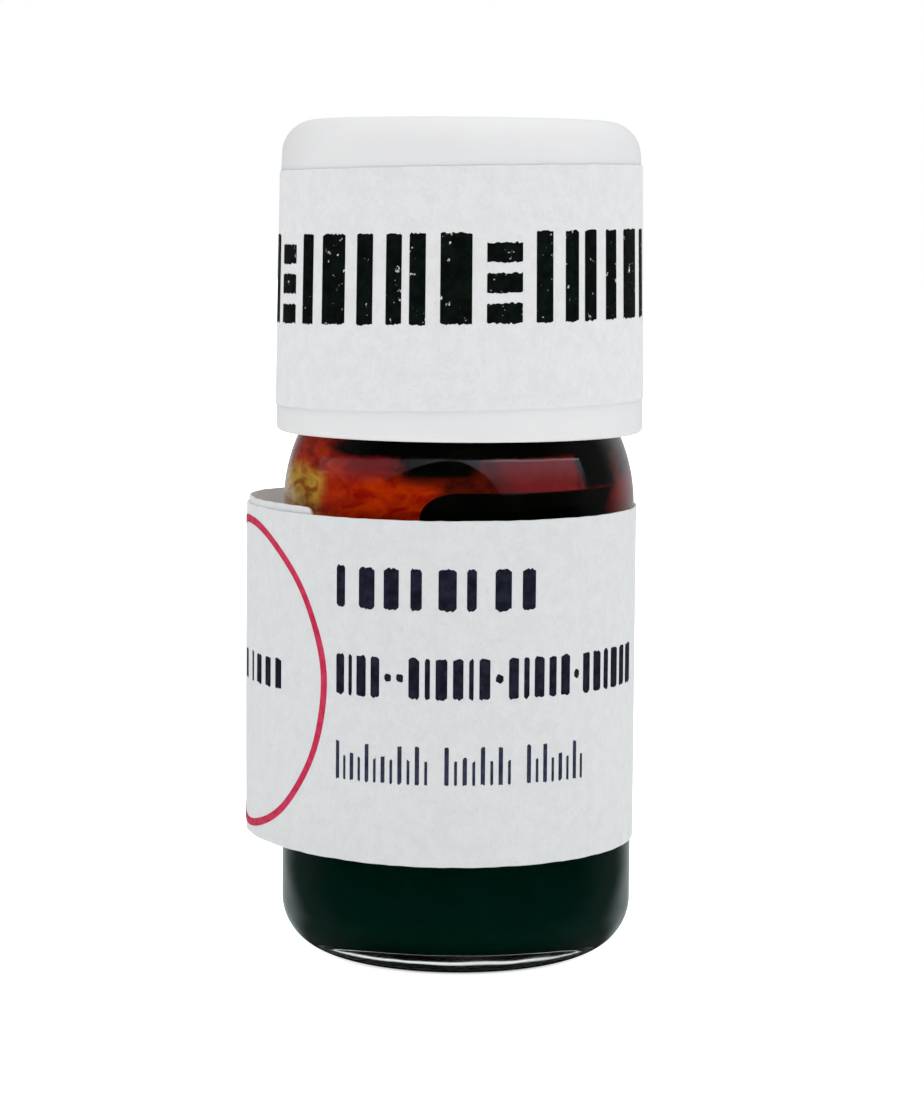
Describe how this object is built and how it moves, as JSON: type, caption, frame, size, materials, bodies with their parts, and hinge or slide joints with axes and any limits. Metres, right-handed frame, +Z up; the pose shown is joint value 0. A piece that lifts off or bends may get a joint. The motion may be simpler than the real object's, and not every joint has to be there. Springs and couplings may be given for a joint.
{
  "type": "sample vial",
  "caption": "Small clear glass vial of dark liquid with a white screw cap, a paper band round the cap and a loose paper label round the body.",
  "frame": {"origin": "centre of the foot ring, on the surface that the vial stands on", "axes": "+Z up along the vial's axis, towards the cap; -Y is the front; the loose loop of the label is at -X"},
  "size_m": [0.019, 0.0176, 0.0392],
  "materials": {
    "clear_glass": "polished clear glass",
    "dark_liquid": "nearly opaque dark liquid with a green tint",
    "amber_film": "thin translucent liquid, amber to deep red",
    "label_paper": "matte white paper with dark print and a red outline",
    "cap_plastic": "satin white moulded plastic",
    "band_paper": "matte white paper with worn black print",
    "liner_foam": "closed-cell foam",
    "liner_facing": "smooth chemical-proof film"
  },
  "bodies": {
    "vial": {"glass_vial": "clear_glass", "gold_liquid": "dark_liquid", "wall_film": "amber_film", "body_label": "label_paper"},
    "liner": {"liner_foam": "liner_foam", "liner_facing": "liner_facing"},
    "cap": {"screw_cap": "cap_plastic", "cap_band": "band_paper"}
  },
  "joints": [
    {"name": "cap_lift", "type": "slide", "parent": "vial", "child": "liner", "axis": [0, 0, 1], "range_m": [0, 0.01271]},
    {"name": "cap_turn", "type": "hinge", "parent": "liner", "child": "cap", "pos_m": [0, 0, 0.03], "axis": [0, 0, 1], "range_deg": [0, 2160]}
  ],
  "couplings": [
    {"joint": "cap_lift", "follows": "cap_turn", "m_per_rad": 0.00033693}
  ]
}
